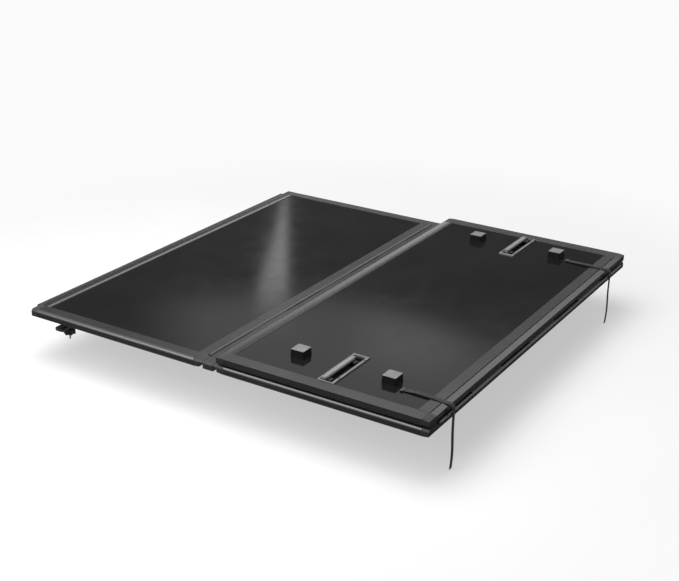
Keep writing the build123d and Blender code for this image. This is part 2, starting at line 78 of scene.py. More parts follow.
MM = 0.001

# ---- camera, floor and light ----------------------------------------------------------
CAMERA_AT = Vector((-3.888, -3.233, 1.906))
CAMERA_AIM = Vector((0.009, -0.83, -0.01))
CAMERA_ROLL = math.radians(0.86)
CAMERA_LENS = 65.0
FLOOR_DROP = 3 * MM         # floor below the lowest point of the cover
FLOOR_SIZE = 60.0
FLOOR_TONE = 0.70           # as the camera sees it
FLOOR_BOUNCE = 0.16         # as the object sees it
FLOOR_MIRRORED = 0.06       # as its glossy faces mirror it
UNDER_HALF_WIDTH = 0.80     # part of the floor that lets light through to the underside
UNDER_REAR = -1.62
UNDER_FADE = 0.08           # width of its soft border
UNDER_GLOW = 0.55           # what the underside mirrors
BACKDROP = 0.96

# ---- straps -----------------------------------------------------------------------------
STRAP_ROW = 0.8 * MM        # length of one mesh row of webbing
STRAP_CORDS = 9             # warp cords across the webbing
STRAP_PICK = 3.2 * MM       # length of one repeat of the weave
STRAP_RELIEF = 0.28 * MM
STRAP_LIFT = 3.0 * MM       # how far the webbing bows off the panel
STRAP_BOW = 4.0 * MM        # how far it bows sideways
TAIL_SWAY = 3.5 * MM
STITCH_PITCH = 3.4 * MM
THREAD_R = 0.32 * MM

# ---- rubber in the panels' frames ---------------------------------------------------------
PANEL_T = 28.0 * MM
SHEET_DEPTH = 2.0 * MM      # a sheet lies this far below its frame
RAIL_TOP = 52.0 * MM        # frame seen from the outer side
RAIL_UNDER = 50.0 * MM
HINGE_TOP = 40.0 * MM
HINGE_UNDER = 66.0 * MM
TAILGATE_TOP = 32.0 * MM
TAILGATE_UNDER = 41.0 * MM
BULKHEAD_TOP = 47.0 * MM
BULKHEAD_UNDER = 33.0 * MM
CASTING = 26.0 * MM         # corner casting, along a side rail
SHOULDER_R = 12.0 * MM
BEAD_W = 2.6 * MM           # bead between a frame and its sheet
BEAD_H = 1.3 * MM
BEAD_CORNER = 4.0 * MM
GROOVE_AT = 23.0 * MM       # shadow groove, from a hinge rail's end face
GROOVE_W = 4.0 * MM
GROOVE_D = 1.2 * MM
BULKHEAD_GROOVE = 16.0 * MM  # the bulkhead rail's groove, from its end face
SEAL_W = 2.2 * MM           # gasket between a casting and its rail
SEAL_PROUD = 0.2 * MM

# ---- fasteners ----------------------------------------------------------------------------
STUD_R = 4.0 * MM
THREAD_LEAD = 4.0 * MM      # two-start thread
THREAD_STARTS = 2
THREAD_DEPTH = 0.65 * MM
THREAD_ROW = 0.25 * MM
NUT_R = 8.0 * MM
NUT_H = 6.0 * MM

BEVEL = {                   # rounding of the edges, by material slot
    "rail_coat": 0.5 * MM,
    "corner_plastic": 0.8 * MM,
    "block_rubber": 1.6 * MM,
    "black_rubber": 0.5 * MM,
    "tray_plastic": 0.7 * MM,
    "latch_metal": 1.0 * MM,
    "clamp_metal": 1.0 * MM,
    "knob_plastic": 1.2 * MM,
    "zinc_steel": 0.3 * MM,
}


# ---- node graphs ------------------------------------------------------------------------
class Graph:
    """A node tree with short calls for the nodes that the materials share."""

    def __init__(self, tree):
        self.tree = tree
        self.coordinates = None

    def add(self, kind, inputs=None, **settings):
        """A shader node; inputs are values or other nodes' output sockets."""
        made = self.tree.nodes.new("ShaderNode" + kind)
        for key, value in settings.items():
            setattr(made, key, value)
        for key, value in (inputs or {}).items():
            if isinstance(value, bpy.types.NodeSocket):
                self.tree.links.new(value, made.inputs[key])
            else:
                made.inputs[key].default_value = value
        return made

    def place(self, stretch=(1, 1, 1)):
        """Object coordinates in metres, squeezed along each axis by stretch."""
        if self.coordinates is None:
            self.coordinates = self.add("TexCoord").outputs["Object"]
        if tuple(stretch) == (1, 1, 1):
            return self.coordinates
        scaled = self.add("VectorMath", {0: self.coordinates, 1: stretch}, operation="MULTIPLY")
        return scaled.outputs["Vector"]

    def math(self, operation, a, b=0.0, clamp=False):
        inputs = {0: a, 1: b}
        return self.add("Math", inputs, operation=operation, use_clamp=clamp).outputs[0]

    def noise(self, scale, detail=2.0, roughness=0.5, stretch=(1, 1, 1), distortion=0.0):
        """Fractal noise, 0 to 1; scale is in features per metre."""
        inputs = {
            "Vector": self.place(stretch),
            "Scale": scale,
            "Detail": detail,
            "Roughness": roughness,
            "Distortion": distortion,
        }
        return self.add("TexNoise", inputs).outputs["Fac"]

    def cells(self, scale, stretch=(1, 1, 1), feature="F1"):
        """Distance to the nearest scattered point, in cells."""
        inputs = {"Vector": self.place(stretch), "Scale": scale}
        return self.add("TexVoronoi", inputs, feature=feature).outputs["Distance"]

    def ramp(self, value, low, high, out_low=0.0, out_high=1.0):
        """A smooth step from out_low at low to out_high at high."""
        inputs = {0: value, 1: low, 2: high, 3: out_low, 4: out_high}
        made = self.add("MapRange", inputs, interpolation_type="SMOOTHSTEP")
        return made.outputs[0]

    def mix(self, factor, a, b):
        """Colour a where factor is 0 and b where it is 1."""
        made = self.add("Mix", data_type="RGBA")
        for index, value in ((0, factor), (6, a), (7, b)):
            if isinstance(value, bpy.types.NodeSocket):
                self.tree.links.new(value, made.inputs[index])
            else:
                made.inputs[index].default_value = value
        return made.outputs[2]

    def bump(self, height, distance, strength=1.0, normal=None):
        inputs = {"Height": height, "Distance": distance, "Strength": strength}
        if normal is not None:
            inputs["Normal"] = normal
        return self.add("Bump", inputs).outputs["Normal"]

    def edges(self, radius):
        """1 on edges sharper than the rounding radius, 0 on open faces."""
        rounded = self.add("Bevel", {"Radius": radius}, samples=4).outputs["Normal"]
        flat = self.add("NewGeometry").outputs["Normal"]
        facing = self.add("VectorMath", {0: rounded, 1: flat}, operation="DOT_PRODUCT")
        return self.ramp(facing.outputs["Value"], 0.995, 0.90)

    def upward(self):
        """1 on faces that point up in the piece's own space, 0 on walls and undersides."""
        normal = self.add("TexCoord").outputs["Normal"]
        height = self.add("SeparateXYZ", {0: normal}).outputs["Z"]
        return self.ramp(height, 0.55, 0.98)


def grey(value, warmth=0.0):
    """A neutral colour, a little warm when warmth is above 0."""
    return (value * (1 + warmth), value, value * (1 - warmth), 1.0)


MATERIALS = {}


def material(name):
    """A new material's graph and its surface shader."""
    made = bpy.data.materials.new(name)
    made.use_nodes = True
    tree = made.node_tree
    MATERIALS[name] = made
    return Graph(tree), tree.nodes["Principled BSDF"]


def finish_shader(graph, shader, **inputs):
    """Connects or sets the shader's inputs; underscores stand for spaces."""
    for key, value in inputs.items():
        socket = shader.inputs[key.replace("_", " ")]
        if isinstance(value, bpy.types.NodeSocket):
            graph.tree.links.new(value, socket)
        else:
            socket.default_value = value


# ---- materials --------------------------------------------------------------------------
def panel_sheet():
    """Black coated aluminium sheet: glossy, with a fine orange peel, haze and a little dust."""
    g, shader = material("panel_sheet")
    cloud = g.noise(2.2, 3.0, 0.55)
    haze = g.noise(9.0, 4.0, 0.6, distortion=0.6)
    peel = g.noise(260.0, 2.0, 0.5)
    grain = g.noise(1500.0, 2.0, 0.6)
    specks = g.ramp(g.cells(150.0), 0.055, 0.02)
    dust = g.math("MULTIPLY", specks, g.ramp(g.noise(14.0, 2.0), 0.5, 0.72))
    base = g.mix(g.ramp(cloud, 0.35, 0.7), grey(0.0070), grey(0.0095))
    base = g.mix(g.math("MULTIPLY", dust, 0.25), base, grey(0.16, 0.02))
    roughness = g.math("ADD", g.ramp(haze, 0.35, 0.75, 0.0, 0.03), 0.065)
    roughness = g.math("ADD", roughness, g.math("MULTIPLY", grain, 0.015))
    normal = g.bump(peel, 0.012 * MM, 0.35)
    normal = g.bump(grain, 0.01 * MM, 0.25, normal)
    finish_shader(g, shader, Base_Color=base, Roughness=roughness, Normal=normal, Specular_IOR_Level=0.5)


def powder_coat(
    name, tone, spread, roughness, grain_scale=1100.0, edge_wear_and_highlight=0.3, specular=0.5, painted_shade_below=None
):
    """Fine-textured powder coat over aluminium, a little lighter on its edges, as rubbed wear and as
    painted highlight.

    With painted_shade_below what lies deeper than that height is painted black as shade: levers deep in a
    slot."""
    g, shader = material(name)
    cloud = g.noise(6.0, 4.0, 0.6)
    grain = g.noise(grain_scale, 3.0, 0.65)
    drawn = g.noise(900.0, 2.0, 0.5, stretch=(1.0, 0.02, 1.0))
    pits = g.cells(grain_scale * 0.8)
    # edges painted lighter: partly rubbed wear, partly painted highlight
    rubbed = g.math("MULTIPLY", g.edges(0.9 * MM), g.ramp(g.noise(55.0, 4.0, 0.7), 0.42, 0.66))
    base = g.mix(g.ramp(cloud, 0.3, 0.7), grey(tone - spread), grey(tone + spread))
    base = g.mix(g.ramp(grain, 0.35, 0.75, 0.0, 0.35), base, grey(tone * 1.7))
    base = g.mix(g.math("MULTIPLY", rubbed, edge_wear_and_highlight), base, grey(0.42, 0.01))
    # painted shade: the colour goes black below the given height
    if painted_shade_below is not None:
        height = g.add("SeparateXYZ", {0: g.place()}).outputs["Z"]
        base = g.mix(g.ramp(height, painted_shade_below, painted_shade_below - 2 * MM), base, grey(tone * 0.08))
    rough = g.math("ADD", g.math("MULTIPLY", grain, 0.10), roughness - 0.05)
    rough = g.math("ADD", rough, g.ramp(drawn, 0.3, 0.7, -0.02, 0.02))
    normal = g.bump(pits, 0.03 * MM, 0.3)
    normal = g.bump(grain, 0.02 * MM, 0.5, normal)
    finish_shader(
        g, shader, Base_Color=base, Roughness=rough, Normal=normal, Specular_IOR_Level=specular
    )


def moulded_plastic(name, tone, roughness, grain_scale=1400.0, painted_shade_below=None):
    """Glass-filled nylon: spark-textured, with faint flow marks and paler worn edges.

    With painted_shade_below the piece is painted nearly black from that height down, as shade on a dish's
    floor."""
    g, shader = material(name)
    flow = g.noise(26.0, 3.0, 0.5, distortion=1.4)
    spark = g.cells(grain_scale)
    fine = g.noise(grain_scale * 1.6, 2.0)
    rubbed = g.math("MULTIPLY", g.edges(0.9 * MM), g.ramp(g.noise(70.0, 3.0, 0.7), 0.35, 0.7))
    base = g.mix(g.ramp(flow, 0.3, 0.75), grey(tone * 0.86), grey(tone * 1.12))
    base = g.mix(g.math("MULTIPLY", rubbed, 0.4), base, grey(tone * 2.2 + 0.03))
    # painted shade: nearly black below the given height, as deep in a dish
    if painted_shade_below is not None:
        height = g.add("SeparateXYZ", {0: g.place()}).outputs["Z"]
        deep = g.ramp(height, painted_shade_below, painted_shade_below - 6 * MM)
        base = g.mix(deep, base, grey(tone * 0.12))
    rough = g.ramp(fine, 0.25, 0.75, roughness - 0.05, roughness + 0.07)
    normal = g.bump(spark, 0.06 * MM, 0.4)
    finish_shader(g, shader, Base_Color=base, Roughness=rough, Normal=normal)


def rubber(name, tone, bloom, lined=False, painted_wall_shade=False):
    """Matt rubber with a pale bloom, scattered dust and, on extrusions, fine die lines.

    When dusty is set, the walls are painted nearly black as shade and given a lower specular level, and the
    top faces keep the pale colour."""
    g, shader = material(name)
    patches = g.noise(38.0, 4.0, 0.6)
    grain = g.noise(1700.0, 3.0, 0.7)
    specks = g.ramp(g.cells(420.0), 0.16, 0.05)
    rubbed = g.math("MULTIPLY", g.edges(1.4 * MM), g.ramp(patches, 0.3, 0.7))
    base = g.mix(g.ramp(patches, 0.35, 0.75), grey(tone), grey(tone + bloom, 0.01))
    # painted shade: walls nearly black, only the top faces keep the colour
    if painted_wall_shade:
        base = g.mix(g.upward(), grey(tone * 0.05), base)
    base = g.mix(g.math("MULTIPLY", specks, 0.2), base, grey(0.30, 0.02))
    base = g.mix(g.math("MULTIPLY", rubbed, 0.35), base, grey(tone * 2.0 + 0.03))
    normal = g.bump(grain, 0.06 * MM, 0.6)
    if lined:
        lines = g.noise(1600.0, 1.0, 0.5, stretch=(0.004, 1.0, 1.0))
        normal = g.bump(lines, 0.08 * MM, 0.7, normal)
    rough = g.ramp(grain, 0.3, 0.7, 0.58, 0.74)
    # painted shade: the walls also get less specular
    shine = g.ramp(g.upward(), 0.0, 1.0, 0.10, 0.4) if painted_wall_shade else 0.4
    finish_shader(g, shader, Base_Color=base, Roughness=rough, Normal=normal, Specular_IOR_Level=shine)


def groove_black():
    """Unlit bottom of a narrow groove: black, matt, with a little grit."""
    g, shader = material("groove_black")
    grit = g.noise(1300.0, 3.0, 0.7)
    base = g.mix(g.ramp(grit, 0.4, 0.7), grey(0.003), grey(0.010))
    normal = g.bump(grit, 0.08 * MM, 0.6)
    finish_shader(g, shader, Base_Color=base, Roughness=0.85, Normal=normal, Specular_IOR_Level=0.05)


def zinc_steel():
    """Zinc-plated steel: brushed and bright, with dull patches and a faint passivation tint."""
    g, shader = material("zinc_steel")
    brushed = g.noise(2600.0, 2.0, 0.6, stretch=(0.03, 1.0, 1.0))
    patches = g.noise(120.0, 4.0, 0.65)
    tint = g.noise(60.0, 2.0, 0.5, distortion=1.0)
    dull = g.ramp(patches, 0.42, 0.62)
    base = g.mix(g.ramp(tint, 0.4, 0.65), (0.60, 0.61, 0.64, 1.0), (0.66, 0.62, 0.50, 1.0))
    base = g.mix(g.math("MULTIPLY", dull, 0.5), base, grey(0.36))
    rough = g.ramp(brushed, 0.3, 0.7, 0.22, 0.36)
    rough = g.math("ADD", rough, g.math("MULTIPLY", dull, 0.16))
    normal = g.bump(brushed, 0.01 * MM, 0.5)
    finish_shader(g, shader, Base_Color=base, Roughness=rough, Normal=normal, Metallic=1.0)


def core_foam():
    """Closed-cell foam board."""
    g, shader = material("core_foam")
    cells = g.cells(900.0)
    cloud = g.noise(20.0, 3.0)
    base = g.mix(g.ramp(cloud, 0.3, 0.7), (0.74, 0.72, 0.66, 1.0), (0.82, 0.80, 0.75, 1.0))
    # painted shade: the cells' hollows painted darker
    base = g.mix(g.ramp(cells, 0.5, 0.1, 0.0, 0.35), base, (0.52, 0.50, 0.45, 1.0))
    normal = g.bump(cells, 0.4 * MM, 0.8)
    finish_shader(g, shader, Base_Color=base, Roughness=0.85, Normal=normal)


def strap_webbing():
    """Woven polyester: its filaments streaked lighter in the colour, partly yarn tone and partly painted
    sheen, with fluff along the selvedges.
    """
    g, shader = material("strap_webbing")
    filaments = g.noise(5200.0, 2.0, 0.6, stretch=(1.0, 0.12, 0.12))
    patches = g.noise(45.0, 3.0, 0.6)
    fluff = g.ramp(g.noise(2300.0, 4.0, 0.8), 0.58, 0.75)
    # lighter filament streaks: partly yarn tone, partly painted sheen
    base = g.mix(g.ramp(filaments, 0.3, 0.7), grey(0.010), grey(0.026))
    base = g.mix(g.ramp(patches, 0.4, 0.7, 0.0, 0.4), base, grey(0.038, 0.006))
    base = g.mix(g.math("MULTIPLY", fluff, 0.16), base, grey(0.16))
    normal = g.bump(filaments, 0.12 * MM, 0.8)
    finish_shader(
        g, shader, Base_Color=base, Roughness=0.80, Normal=normal, Sheen_Weight=0.10, Sheen_Roughness=0.4
    )


def thread():
    """Sewing thread, twisted, a little paler than the webbing."""
    g, shader = material("thread")
    twist = g.noise(4200.0, 2.0, 0.5)
    base = g.mix(g.ramp(twist, 0.35, 0.65), grey(0.06), grey(0.15))
    normal = g.bump(twist, 0.1 * MM, 0.8)
    finish_shader(g, shader, Base_Color=base, Roughness=0.6, Normal=normal, Sheen_Weight=0.3)


def floor_paint():
    """Pale matt studio floor that fades into the white backdrop and throws back little light."""
    g, shader = material("floor")
    cloud = g.noise(1.3, 4.0, 0.6)
    grain = g.noise(240.0, 2.0, 0.6)
    path = g.add("LightPath").outputs
    seen = path["Is Camera Ray"]
    base = g.mix(g.ramp(cloud, 0.3, 0.7), grey(FLOOR_TONE - 0.01), grey(FLOOR_TONE + 0.01))
    thrown = g.mix(path["Is Glossy Ray"], grey(FLOOR_BOUNCE), grey(FLOOR_MIRRORED))
    base = g.mix(seen, thrown, base)
    normal = g.bump(grain, 0.1 * MM, 0.15)
    finish_shader(g, shader, Base_Color=base, Roughness=0.8, Normal=normal, Specular_IOR_Level=0.1)
    place = g.add("SeparateXYZ", {0: g.place()}).outputs
    off = g.math("SUBTRACT", place["Y"], CAMERA_AIM.y)
    distance = g.math("SQRT", g.math("ADD", g.math("POWER", place["X"], 2.0), g.math("POWER", off, 2.0)))
    far = g.math("MULTIPLY", seen, g.ramp(distance, 1.2, 2.6, 0.52, 1.0))
    backdrop = g.add("Emission", {"Color": (1, 1, 1, 1), "Strength": BACKDROP})
    both = g.add("MixShader", {0: far, 1: shader.outputs[0], 2: backdrop.outputs[0]})
    # open to a camera below it and, under the cover, to the light that reaches the underside
    wide = g.ramp(g.math("ABSOLUTE", place["X"]), UNDER_HALF_WIDTH, UNDER_HALF_WIDTH - UNDER_FADE)
    deep = g.math("MULTIPLY", g.ramp(place["Y"], UNDER_REAR, UNDER_REAR + UNDER_FADE),
                  g.ramp(place["Y"], 0.0, -UNDER_FADE))
    under = g.math("MULTIPLY", g.math("MULTIPLY", wide, deep), g.math("SUBTRACT", 1.0, seen))
    below = g.math("MULTIPLY", seen, g.add("NewGeometry").outputs["Backfacing"])
    clear = g.add("BsdfTransparent")
    both = g.add("MixShader", {0: g.math("MAXIMUM", under, below), 1: both.outputs[0], 2: clear.outputs[0]})
    output = next(node for node in g.tree.nodes if node.type == "OUTPUT_MATERIAL")
    g.tree.links.new(both.outputs[0], output.inputs["Surface"])


def make_materials():
    panel_sheet()
    powder_coat("rail_coat", 0.016, 0.003, 0.20, edge_wear_and_highlight=0.15, specular=1.0)
    powder_coat("latch_metal", 0.175, 0.012, 0.42, edge_wear_and_highlight=0.3, painted_shade_below=61 * MM)
    powder_coat("clamp_metal", 0.040, 0.006, 0.42, grain_scale=700.0, edge_wear_and_highlight=0.6)
    moulded_plastic("corner_plastic", 0.022, 0.50)
    moulded_plastic("tray_plastic", 0.135, 0.46, painted_shade_below=58 * MM)
    moulded_plastic("knob_plastic", 0.032, 0.48, grain_scale=1000.0)
    rubber("black_rubber", 0.020, 0.016, lined=True)
    rubber("block_rubber", 0.140, 0.040, painted_wall_shade=True)
    groove_black()
    zinc_steel()
    core_foam()
    strap_webbing()
    thread()
    floor_paint()


# ---- CAD nodes ----------------------------------------------------------------------------
def dress_nodes():
    """Gives every CAD node its slot's material and rounds its sharp edges."""
    for part in frame["record"]["subparts"]:
        piece = frame["nodes"][part["node"]]
        slot = part["material_slot"]
        piece.data.materials.clear()
        piece.data.materials.append(MATERIALS[slot])
        if slot in BEVEL:
            round_edges(piece, BEVEL[slot])


def round_edges(piece, width):
    """Merges the faces' split corners, then rounds what is sharp."""
    weld = piece.modifiers.new("weld", "WELD")
    weld.merge_threshold = 0.01 * MM
    planes = piece.modifiers.new("planes", "DECIMATE")
    planes.decimate_type = "DISSOLVE"
    planes.angle_limit = math.radians(0.6)
    bevel = piece.modifiers.new("bevel", "BEVEL")
    bevel.width = width
    bevel.segments = 3
    bevel.limit_method = "ANGLE"
    bevel.angle_limit = math.radians(38)
    bevel.use_clamp_overlap = True
    normals = piece.modifiers.new("normals", "WEIGHTED_NORMAL")
    normals.mode = "FACE_AREA_WITH_ANGLE"
    normals.weight = 60


# ---- mesh helpers ---------------------------------------------------------------------------
def new_piece(name, bm, slot, paint=None, smooth=True):
    """A piece from a bmesh, given the paint's material, or the slot's when no paint is given."""
    mesh = bpy.data.meshes.new(name)
    bmesh.ops.recalc_face_normals(bm, faces=bm.faces)
    bm.to_mesh(mesh)
    bm.free()
    for face in mesh.polygons:
        face.use_smooth = smooth
    piece = bpy.data.objects.new(name, mesh)
    bpy.context.scene.collection.objects.link(piece)
    mesh.materials.append(MATERIALS[paint or slot])
    return piece


def skin_rings(bm, rings, closed_ends=(True, True)):
    """Joins rings of points, all of one length, into a tube."""
    rows = [[bm.verts.new(point) for point in ring] for ring in rings]
    count = len(rows[0])
    for low, high in zip(rows, rows[1:]):
        for i in range(count):
            j = (i + 1) % count
            bm.faces.new((low[i], low[j], high[j], high[i]))
    if closed_ends[0]:
        bm.faces.new(rows[0])
    if closed_ends[1]:
        bm.faces.new(rows[-1])


# ---- straps -----------------------------------------------------------------------------------
def strap_path(side):
    """Points and sideways shifts down the middle of a strap, from its fixing to its loose end."""
    run_low, run_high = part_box(f"{side}_strap_run")
    tail_low, tail_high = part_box(f"{side}_strap_tail")
    x = (run_low.x + run_high.x) / 2
    z = (run_low.z + run_high.z) / 2
    y_tail = (tail_low.y + tail_high.y) / 2
    turn = run_low.y - y_tail
    run = run_high.y - run_low.y
    points = []
    steps = int(run / STRAP_ROW)
    for i in range(steps):
        t = i / steps
        wave = math.sin(math.pi * t) ** 2
        bow = STRAP_BOW * math.sin(math.pi * t) * (1 if side == "left" else -1)
        points.append(Vector((x + bow, run_high.y - t * run, z + STRAP_LIFT * wave)))
    bends = max(12, int(turn * math.pi / 2 / STRAP_ROW))
    for i in range(bends + 1):
        angle = math.pi / 2 * i / bends
        points.append(Vector((x, run_low.y - turn * math.sin(angle), z - turn * (1 - math.cos(angle)))))
    start = points[-1].z
    drop = start - tail_low.z
    steps = int(drop / STRAP_ROW)
    for i in range(1, steps + 1):
        t = i / steps
        sway = TAIL_SWAY * math.sin(2.2 * math.pi * t) * t
        points.append(Vector((x + 0.6 * sway, y_tail + sway, start - t * drop)))
    return points, len(points) - steps - bends - 1, len(points) - steps - 1


def weave_ring(point, along, travelled, width, thickness):
    """One cross-section of the webbing, its cords raised in a herringbone."""
    across = Vector((1, 0, 0))
    out = across.cross(along).normalized()
    if out.z < 0 and abs(out.z) > abs(out.y):
        out = -out
    columns = STRAP_CORDS * 3
    ring = []
    for face in (1, -1):
        for i in range(columns + 1):
            u = i / columns if face > 0 else 1 - i / columns
            cord = abs(math.sin(math.pi * STRAP_CORDS * u))
            chevron = abs(2 * u - 1) * 1.5
            pick = 0.5 + 0.5 * math.cos(2 * math.pi * (travelled / STRAP_PICK + chevron * face))
            edge = min(u, 1 - u) * 2 * STRAP_CORDS
            body = thickness / 2 * min(1.0, 0.35 + 0.65 * edge)
            height = body - STRAP_RELIEF + STRAP_RELIEF * cord * (0.45 + 0.55 * pick)
            ring.append(point + across * (u - 0.5) * width + out * face * height)
    return ring


def strap(side):
    """A stow strap in three lengths: on the panel, over the edge, and hanging."""
    low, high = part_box(f"{side}_strap_run")
    width, thickness = high.x - low.x, high.z - low.z
    points, bend_from, tail_from = strap_path(side)
    rings = []
    travelled = 0.0
    for i, point in enumerate(points):
        before, after = points[max(i - 1, 0)], points[min(i + 1, len(points) - 1)]
        travelled += (point - before).length if i else 0.0
        rings.append(weave_ring(point, (after - before).normalized(), travelled, width, thickness))
    lengths = {
        "run": (0, bend_from, (True, False)),
        "bend": (bend_from, tail_from, (False, False)),
        "tail": (tail_from, len(points) - 1, (False, True)),
    }
    made = {}
    for name, (first, last, ends) in lengths.items():
        bm = bmesh.new()
        skin_rings(bm, rings[first:last + 1], ends)
        made[name] = new_piece(f"{side}_webbing_{name}", bm, "strap_webbing")
    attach(made["run"], "rear_panel")
    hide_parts(f"{side}_strap_run")
    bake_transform(made["bend"])
    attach(made["tail"], f"{side}_strap")
    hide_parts(f"{side}_strap_tail")
    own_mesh(made["tail"])


# ---- stitching ------------------------------------------------------------------------------------
def stitch(bm, start, end, out, radius):
    """One arched length of sewing thread, sunk into the cloth at both ends."""
    along = (end - start).normalized()
    side = along.cross(out)
    rings = []
    for i in range(7):
        t = i / 6
        middle = start.lerp(end, t) + out * (math.sin(math.pi * t) * 1.5 - 0.9) * radius
        r = radius * (0.35 + 0.65 * math.sin(math.pi * (0.12 + 0.76 * t)))
        turned = [2 * math.pi * k / 6 for k in range(6)]
        rings.append([middle + (side * math.cos(a) + out * math.sin(a)) * r for a in turned])
    skin_rings(bm, rings)


def seam(bm, start, end, out):
    """A row of stitches from start to end."""
    length = (end - start).length
    count = max(2, round(length / STITCH_PITCH))
    for i in range(count):
        first = start.lerp(end, (i + 0.08) / count)
        last = start.lerp(end, (i + 0.92) / count)
        stitch(bm, first, last, out, THREAD_R)


def box_seam(bm, corner_a, corner_b, corner_c, out):
    """A rectangle of stitching with both diagonals; the fourth corner follows from the three."""
    corner_d = corner_a + corner_c - corner_b
    loop = (corner_a, corner_b, corner_c, corner_d)
    for i in range(4):
        seam(bm, loop[i], loop[(i + 1) % 4], out)
    seam(bm, corner_a.lerp(corner_c, 0.06), corner_a.lerp(corner_c, 0.94), out)
    seam(bm, corner_b.lerp(corner_d, 0.06), corner_b.lerp(corner_d, 0.94), out)


def strap_stitches(side):
    """Box stitching beside the fixing, and two rows across the hem of the loose end."""
    points, _, tail_from = strap_path(side)
    low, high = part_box(f"{side}_strap_run")
    half = (high.x - low.x) / 2 - 3 * MM
    top = (high.z - low.z) / 2
    bm = bmesh.new()
    first, last = points[int(24 * MM / STRAP_ROW)], points[int(44 * MM / STRAP_ROW)]
    lift = Vector((0, 0, top))
    across = Vector((half, 0, 0))
    box_seam(bm, first - across + lift, first + across + lift, last + across + lift, Vector((0, 0, 1)))
    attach(new_piece(f"{side}_fixing_stitches", bm, "strap_webbing", "thread"), "rear_panel")
    bm = bmesh.new()
    for out in (Vector((0, -1, 0)), Vector((0, 1, 0))):
        for rise in (14 * MM, 18 * MM):
            row = points[-1 - int(rise / STRAP_ROW)] + out * top
            seam(bm, row - across, row + across, out)
    hem = new_piece(f"{side}_hem_stitches", bm, "strap_webbing", "thread")
    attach(hem, f"{side}_strap")
    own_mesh(hem)


# ---- rubber in the frames, and black strips of painted shade in their grooves -----------------------
def panel_span(body):
    """Front and rear face, underside height and whether a panel lies upside down at rest."""
    low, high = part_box(f"{body}_left_rail")
    return low.y - CASTING, high.y + CASTING, low.z, body == "rear"


def rounded_loop(x_half, y_low, y_high, radius):
    """Points and outward directions round a rectangle with rounded corners."""
    loop = []
    corners = (
        (x_half - radius, y_high - radius, 0),
        (-x_half + radius, y_high - radius, 90),
        (-x_half + radius, y_low + radius, 180),
        (x_half - radius, y_low + radius, 270),
    )
    for x, y, start in corners:
        for step in range(7):
            angle = math.radians(start + 15 * step)
            out = Vector((math.cos(angle), math.sin(angle), 0))
            loop.append((Vector((x, y, 0)) + out * radius, out))
    return loop


def bead(name, body, x_half, y_low, y_high, z, facing):
    """A rounded rubber bead that lies on a sheet, tight against the frame round it."""
    profile = ((0.0, -0.1), (0.0, 0.8), (0.18, 1.0), (0.5, 0.95), (0.8, 0.65), (0.95, 0.3), (1.0, -0.1))
    rings = []
    for point, out in rounded_loop(x_half, y_low, y_high, BEAD_CORNER):
        base = Vector((point.x, point.y, z))
        rise = Vector((0, 0, facing))
        rings.append([base - out * BEAD_W * u + rise * BEAD_H * v for u, v in profile])
    bm = bmesh.new()
    closed_tube(bm, rings)
    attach(new_piece(name, bm, "black_rubber"), body)


def closed_tube(bm, rings):
    """Joins rings of points into a tube whose last ring meets its first."""
    rows = [[bm.verts.new(point) for point in ring] for ring in rings]
    count = len(rows[0])
    for low, high in zip(rows, rows[1:] + rows[:1]):
        for i in range(count):
            j = (i + 1) % count
            bm.faces.new((low[i], low[j], high[j], high[i]))


def frame_openings(body):
    """Half width, rear and front border of a panel's top and bottom opening, at rest."""
    y_low, y_high, _, _ = panel_span(body)
    half = CAD_HALF_WIDTH
    borders = {
        "front": ((HINGE_TOP, BULKHEAD_TOP), (HINGE_UNDER, BULKHEAD_UNDER)),
        "middle": ((HINGE_TOP, HINGE_TOP), (HINGE_UNDER, HINGE_UNDER)),
        "rear": ((HINGE_TOP, TAILGATE_TOP), (HINGE_UNDER, TAILGATE_UNDER)),
    }
    (top_rear, top_front), (under_rear, under_front) = borders[body]
    return {
        "top": (half - RAIL_TOP, y_low + top_rear, y_high - top_front),
        "under": (half - RAIL_UNDER, y_low + under_rear, y_high - under_front),
    }


def panel_beads(body):
    """The beads on both faces of one panel."""
    _, _, z_low, flipped = panel_span(body)
    for face, (x_half, y_rear, y_front) in frame_openings(body).items():
        upper = (face == "top") != flipped
        z = z_low + PANEL_T - SHEET_DEPTH if upper else z_low + SHEET_DEPTH
        bead(f"{body}_{face}_bead", f"{body}_panel", x_half, y_rear, y_front, z, 1 if upper else -1)


def groove_strip(name, body, y_face, inward, z_face, facing, start=GROOVE_AT):
    """A strip painted black as the groove's shade, laid in a rail's shadow groove, its top hollowed."""
    half = CAD_HALF_WIDTH - RAIL_TOP - 0.5 * MM
    near = start + 0.1 * MM
    far = start + GROOVE_W - 0.1 * MM
    outline = ((near, GROOVE_D), (near, 0.35 * MM), (near + 0.5 * MM, 0.3 * MM),
               ((near + far) / 2, 0.75 * MM), (far - 0.5 * MM, 0.3 * MM), (far, 0.35 * MM), (far, GROOVE_D))
    rings = []
    for x in (-half, half):
        rings.append([Vector((x, y_face + inward * u, z_face - facing * v)) for u, v in outline])
    bm = bmesh.new()
    skin_rings(bm, rings)
    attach(new_piece(name, bm, "black_rubber", "groove_black", smooth=False), body)


def groove_strips():
    for body, side in (("front", -1), ("middle", 1), ("middle", -1), ("rear", -1)):
        y_low, y_high, z_low, flipped = panel_span(body)
        y_face = y_low if side < 0 else y_high
        z_face = z_low + PANEL_T if flipped else z_low
        end = "rear" if side < 0 else "front"
        groove_strip(f"{body}_{end}_groove", f"{body}_panel", y_face, -side, z_face, 1 if flipped else -1)
    _, y_high, z_low, _ = panel_span("front")
    groove_strip("bulkhead_groove", "front_panel", y_high, -1, z_low + PANEL_T, 1, BULKHEAD_GROOVE)


